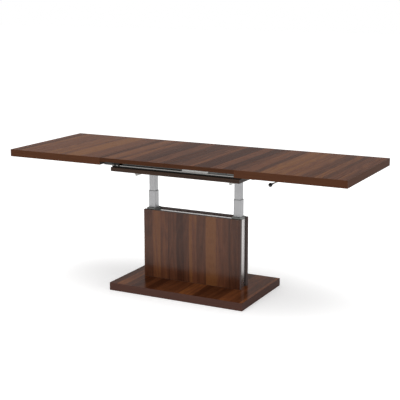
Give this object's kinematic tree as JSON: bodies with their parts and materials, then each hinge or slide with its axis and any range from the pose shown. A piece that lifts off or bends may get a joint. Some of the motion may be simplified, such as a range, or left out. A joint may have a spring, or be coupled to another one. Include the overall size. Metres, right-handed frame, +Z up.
{
  "type": "convertible coffee dining table",
  "caption": "Extending table on a slab base and panel pedestal, raised on telescopic columns from coffee to dining height, with sliding leaves and loose insert boards.",
  "frame": {"origin": "on the floor under the middle of the table", "axes": "+X along the table top towards the lever's end, +Y across the top towards the back, +Z up"},
  "size_m": [2, 0.7, 0.776],
  "materials": {
    "walnut": "semi-gloss dark walnut laminate with plank stripes",
    "dark_board": "very dark brown laminate",
    "raw_board": "plain board, hidden underneath",
    "satin_steel": "satin silver-grey square tube",
    "strip_aluminium": "satin anodised strip",
    "rail_aluminium": "mill-finish extrusion",
    "grey_steel": "grey powder coat",
    "dark_steel": "dark grey steel bar",
    "zinc": "zinc-plated screw",
    "dark_plastic": "dark grey moulded plastic",
    "black_plastic": "black moulded plastic",
    "light_nylon": "light grey nylon",
    "black_gloss": "glossy black ball",
    "black_paint": "black paint",
    "chrome_rod": "polished rod",
    "felt": "dark felt"
  },
  "bodies": {
    "pedestal": {"base_plate": "walnut", "floor_glides": "felt", "front_panel": "walnut", "back_panel": "walnut", "panel_screws": "zinc", "panel_battens": "raw_board", "top_strip": "strip_aluminium", "foot_plates": "grey_steel", "foot_plate_screws": "zinc", "left_end_strip": "strip_aluminium", "right_end_strip": "strip_aluminium", "left_column_collar": "dark_plastic", "right_column_collar": "dark_plastic", "left_outer_tube": "satin_steel", "right_outer_tube": "satin_steel", "left_gas_cylinder": "black_paint", "right_gas_cylinder": "black_paint"},
    "left_middle_stage": {"left_middle_tube": "satin_steel", "left_guide_ring": "dark_plastic"},
    "right_middle_stage": {"right_middle_tube": "satin_steel", "right_guide_ring": "dark_plastic"},
    "carriage": {"left_inner_tube": "satin_steel", "right_inner_tube": "satin_steel", "left_gas_rod": "chrome_rod", "right_gas_rod": "chrome_rod", "left_head_angle": "grey_steel", "right_head_angle": "grey_steel", "head_plates": "grey_steel", "head_screws": "zinc", "shaft_bearings": "black_plastic", "sub_board": "dark_board", "rail_spacers": "black_plastic", "front_rail": "rail_aluminium", "rear_rail": "rail_aluminium", "rail_end_stops": "black_plastic", "rail_bolts": "zinc"},
    "left_leaf": {"left_leaf_board": "walnut", "left_leaf_doublers": "raw_board", "left_leaf_edge_bands": "walnut", "left_front_runner": "dark_steel", "left_rear_runner": "dark_steel", "left_runner_shoes": "light_nylon", "left_leaf_brackets": "grey_steel", "left_bracket_screws": "zinc"},
    "right_leaf": {"right_leaf_board": "walnut", "right_leaf_doublers": "raw_board", "right_leaf_edge_bands": "walnut", "right_front_runner": "dark_steel", "right_rear_runner": "dark_steel", "right_runner_shoes": "light_nylon", "right_leaf_brackets": "grey_steel", "right_bracket_screws": "zinc"},
    "left_insert_board": {"left_insert": "walnut", "left_insert_cleats": "raw_board"},
    "right_insert_board": {"right_insert": "walnut", "right_insert_cleats": "raw_board"},
    "release_lever": {"release_shaft": "grey_steel", "ball_knob": "black_gloss", "release_fingers": "grey_steel"},
    "release_pin_pair": {"release_pins": "chrome_rod"}
  },
  "joints": [
    {"name": "lift", "type": "slide", "parent": "pedestal", "child": "carriage", "axis": [0, 0, 1], "range_m": [-0.194, 0]},
    {"name": "left_stage", "type": "slide", "parent": "pedestal", "child": "left_middle_stage", "axis": [0, 0, 1], "range_m": [-0.097, 0]},
    {"name": "right_stage", "type": "slide", "parent": "pedestal", "child": "right_middle_stage", "axis": [0, 0, 1], "range_m": [-0.097, 0]},
    {"name": "left_leaf_pull", "type": "slide", "parent": "carriage", "child": "left_leaf", "axis": [-1, 0, 0], "range_m": [0, 0.04]},
    {"name": "right_leaf_pull", "type": "slide", "parent": "carriage", "child": "right_leaf", "axis": [1, 0, 0], "range_m": [0, 0.04]},
    {"name": "left_insert_lift", "type": "slide", "parent": "carriage", "child": "left_insert_board", "axis": [0, 0, 1], "range_m": [0, 0.2]},
    {"name": "right_insert_lift", "type": "slide", "parent": "carriage", "child": "right_insert_board", "axis": [0, 0, 1], "range_m": [0, 0.2]},
    {"name": "release", "type": "hinge", "parent": "carriage", "child": "release_lever", "pos_m": [0, -0.035, 0.6785], "axis": [-1, 0, 0], "range_deg": [0, 8], "stiffness_Nm_per_rad": 1, "springref_deg": -2.86},
    {"name": "pin_press", "type": "slide", "parent": "carriage", "child": "release_pin_pair", "axis": [0, 0, -1], "range_m": [0, 0.006]}
  ],
  "couplings": [
    {"joint": "left_stage", "follows": "lift", "ratio": 0.5},
    {"joint": "right_stage", "follows": "lift", "ratio": 0.5},
    {"joint": "pin_press", "follows": "release", "m_per_rad": 0.039}
  ]
}
